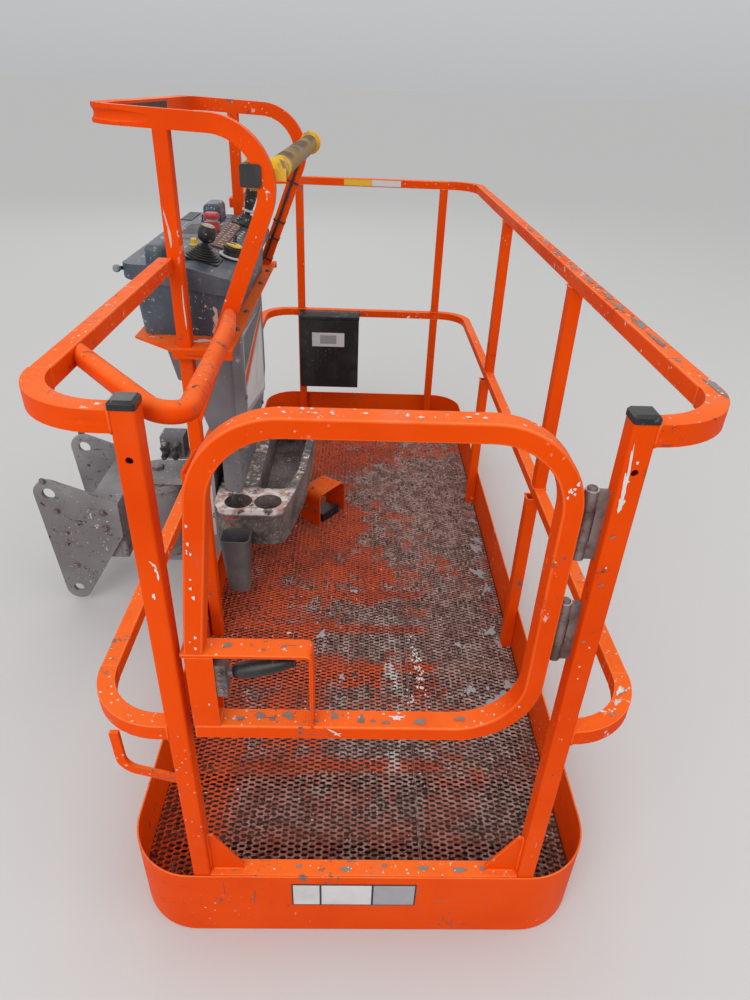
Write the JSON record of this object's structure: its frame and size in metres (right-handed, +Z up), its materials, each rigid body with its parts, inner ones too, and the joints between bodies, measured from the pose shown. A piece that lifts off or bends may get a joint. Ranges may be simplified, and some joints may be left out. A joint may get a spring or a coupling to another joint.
{
  "type": "boom lift work platform",
  "caption": "Boom lift work platform: railed mesh-floor basket with a swinging gate, console, guard hoop, tool tray and rotating support bracket.",
  "frame": {"origin": "centre of the bounding box on the floor under the platform", "axes": "+X to the right seen from the gate end, +Y from the gate end to the closed end, +Z up"},
  "size_m": [1.448, 2.385, 1.4326],
  "materials": {
    "bare_steel": "dull",
    "black_plastic": "matte",
    "black_rubber": "matte",
    "console_plastic": "satin",
    "grey_paint": "worn satin",
    "grey_plastic": "matte",
    "orange_deck": "worn",
    "orange_paint": "gloss",
    "red_plastic": "gloss",
    "yellow_foam": "matte",
    "yellow_plastic": "satin"
  },
  "bodies": {
    "platform": {"column_cover": "grey_paint", "connector_block": "grey_paint", "console_body": "console_plastic", "console_column": "grey_paint", "console_guard": "orange_paint", "console_legs_high": "orange_paint", "console_legs_low": "orange_paint", "console_lid": "console_plastic", "console_shelf": "orange_paint", "cross_members": "orange_paint", "deck_panel_left": "orange_deck", "deck_panel_right": "orange_deck", "document_box": "black_plastic", "document_lid": "black_plastic", "end_posts_high": "orange_paint", "end_posts_low": "orange_paint", "entry_sill": "orange_paint", "floor_frame": "orange_paint", "foot_pedal": "black_plastic", "foot_switch_guard": "orange_paint", "gate_post_left": "orange_paint", "gate_post_right": "orange_paint", "grab_tube": "orange_paint", "hinge_leaf_lower": "bare_steel", "hinge_leaf_upper": "bare_steel", "joystick_far": "black_rubber", "joystick_near": "black_rubber", "lanyard_loops": "orange_paint", "mid_rail_bends": "orange_paint", "mid_rail_runs": "orange_paint", "post_caps": "black_plastic", "rotator_mount": "grey_paint", "selector_dial": "yellow_plastic", "sensor_bar": "yellow_foam", "sensor_brackets": "orange_paint", "sensor_cable": "black_plastic", "sensor_switch_box": "black_plastic", "side_posts_high": "orange_paint", "side_posts_low": "orange_paint", "sill_gussets": "orange_paint", "stop_button": "red_plastic", "switch_strip": "red_plastic", "toe_board": "orange_paint", "tool_pocket": "grey_plastic", "tool_tray": "black_plastic", "top_rail_bends": "orange_paint", "top_rail_runs": "orange_paint"},
    "gate": {"gate_frame": "orange_paint", "hinge_barrel_lower": "bare_steel", "hinge_barrel_upper": "bare_steel", "latch_bolt": "bare_steel", "latch_box": "orange_paint", "latch_guard": "orange_paint", "latch_handle": "black_plastic"},
    "support": {"rotator_housing": "grey_paint", "support_plates": "grey_paint", "support_web": "grey_paint"}
  },
  "joints": [
    {"name": "gate_hinge", "type": "hinge", "parent": "platform", "child": "gate", "pos_m": [0.5375, -1.1655, 0.85], "axis": [0, 0, -1], "range_deg": [0, 90], "stiffness_Nm_per_rad": 3},
    {"name": "platform_rotate", "type": "hinge", "parent": "platform", "child": "support", "pos_m": [-0.396, -0.0225, 0.26], "axis": [0, 0, 1], "range_deg": [-90, 90]}
  ]
}
